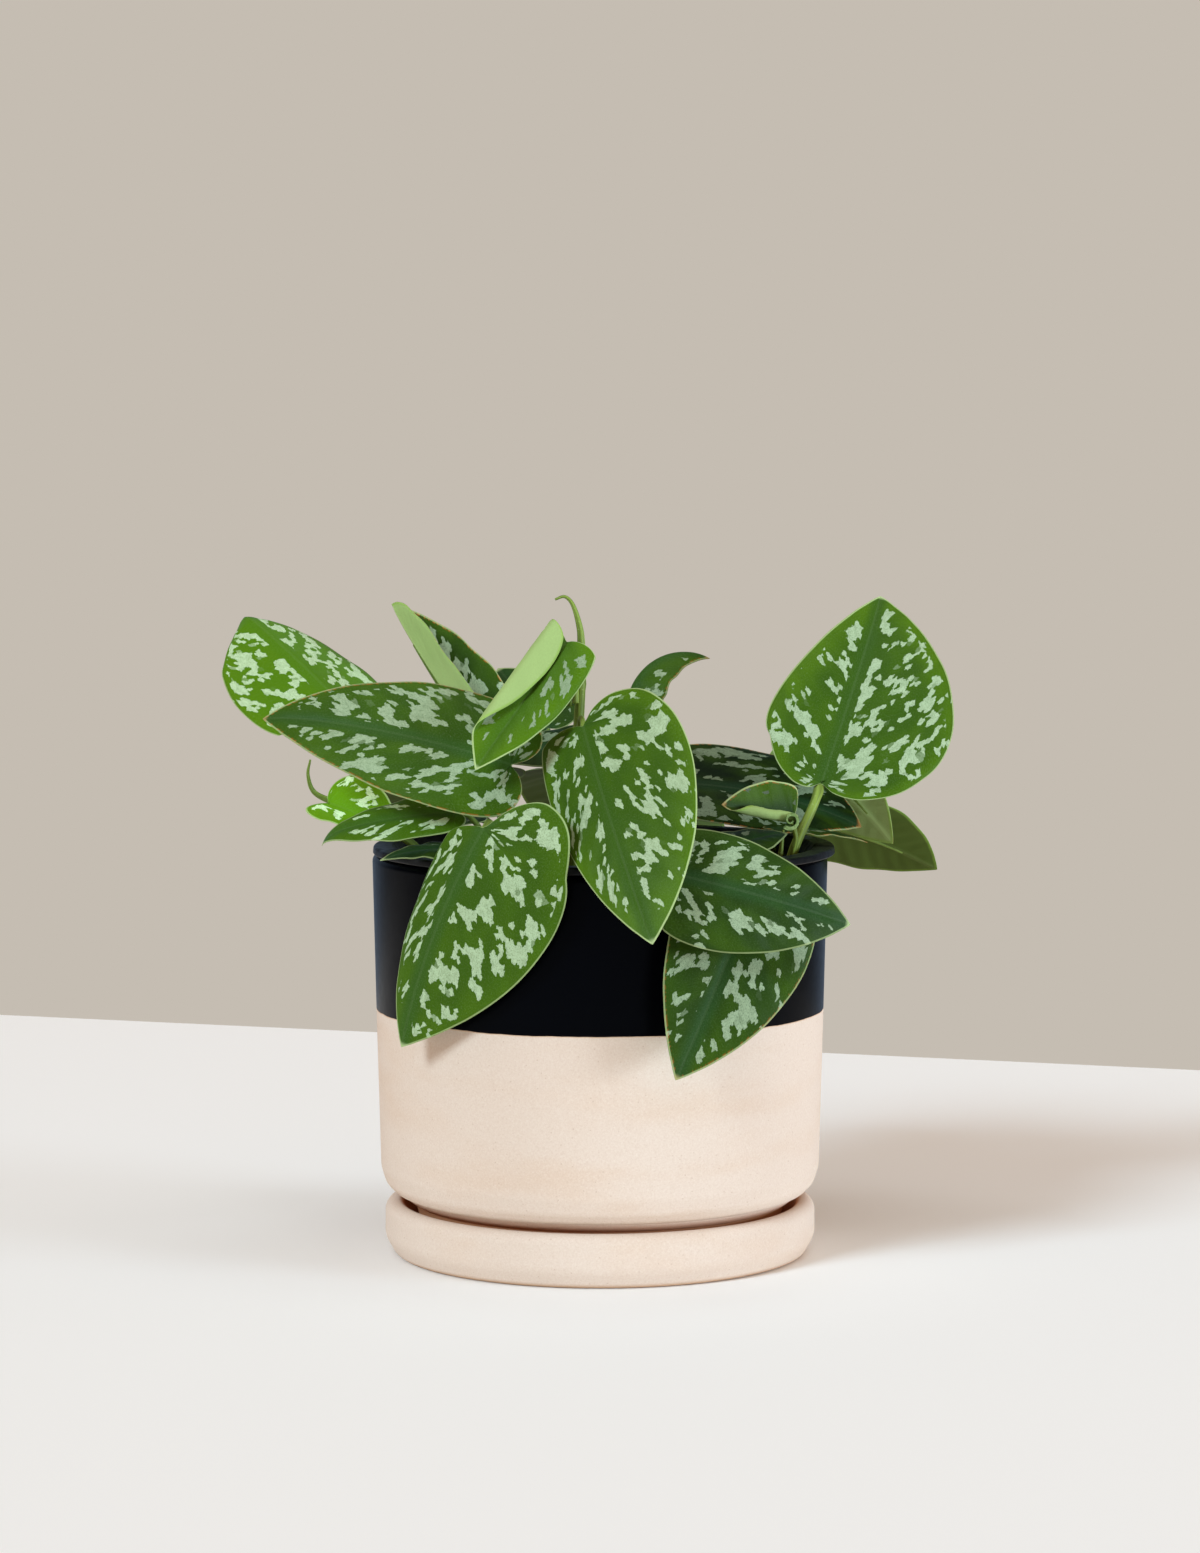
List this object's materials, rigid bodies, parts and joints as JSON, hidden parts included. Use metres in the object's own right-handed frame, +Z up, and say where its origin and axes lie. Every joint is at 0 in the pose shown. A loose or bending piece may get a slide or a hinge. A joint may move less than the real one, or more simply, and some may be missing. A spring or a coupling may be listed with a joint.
{
  "type": "satin pothos in a two-tone clay pot",
  "caption": "Potted satin pothos with heart-shaped mottled leaves, in a clay pot dipped in dark glaze on a clay saucer.",
  "frame": {"origin": "centre of the saucer's underside, on the surface it stands on", "axes": "+Z up, +X to the right and -Y towards the viewer of the picture"},
  "size_m": [0.2286, 0.2106, 0.2038],
  "materials": {
    "clay": "matte",
    "liner": "satin",
    "soil": "matte",
    "leaf": "satin",
    "stem": "satin"
  },
  "bodies": {
    "root": {"saucer": "clay", "pot": "clay", "nursery_pot": "liner", "soil": "soil", "leaf_front_centre": "leaf", "leaf_front_left": "leaf", "leaf_front_right": "leaf", "leaf_front_right_low": "leaf", "leaf_left_big": "leaf", "leaf_left_rolled": "leaf", "leaf_back_left": "leaf", "leaf_back_folded": "leaf", "leaf_right_big": "leaf", "leaf_right_dark": "leaf", "leaf_right_back": "leaf", "leaf_right_under": "leaf", "leaf_back_right": "leaf", "leaf_right_new": "leaf", "leaf_left_small": "leaf", "leaf_left_low": "leaf", "leaf_left_shade": "leaf", "leaf_rim_small": "leaf", "leaf_right_thin": "leaf", "leaf_right_inner": "leaf", "leaf_inner_left": "leaf", "leaf_middle_right": "leaf", "leaf_middle_back": "leaf", "leaf_back_centre": "leaf", "leaf_rear_left": "leaf", "leaf_rear_centre": "leaf", "leaf_rear_right": "leaf", "leaf_rear_low": "leaf", "stem_centre": "stem", "spear_centre": "stem", "stem_left": "stem", "spear_left": "stem", "sheath_right": "stem"}
  },
  "joints": []
}
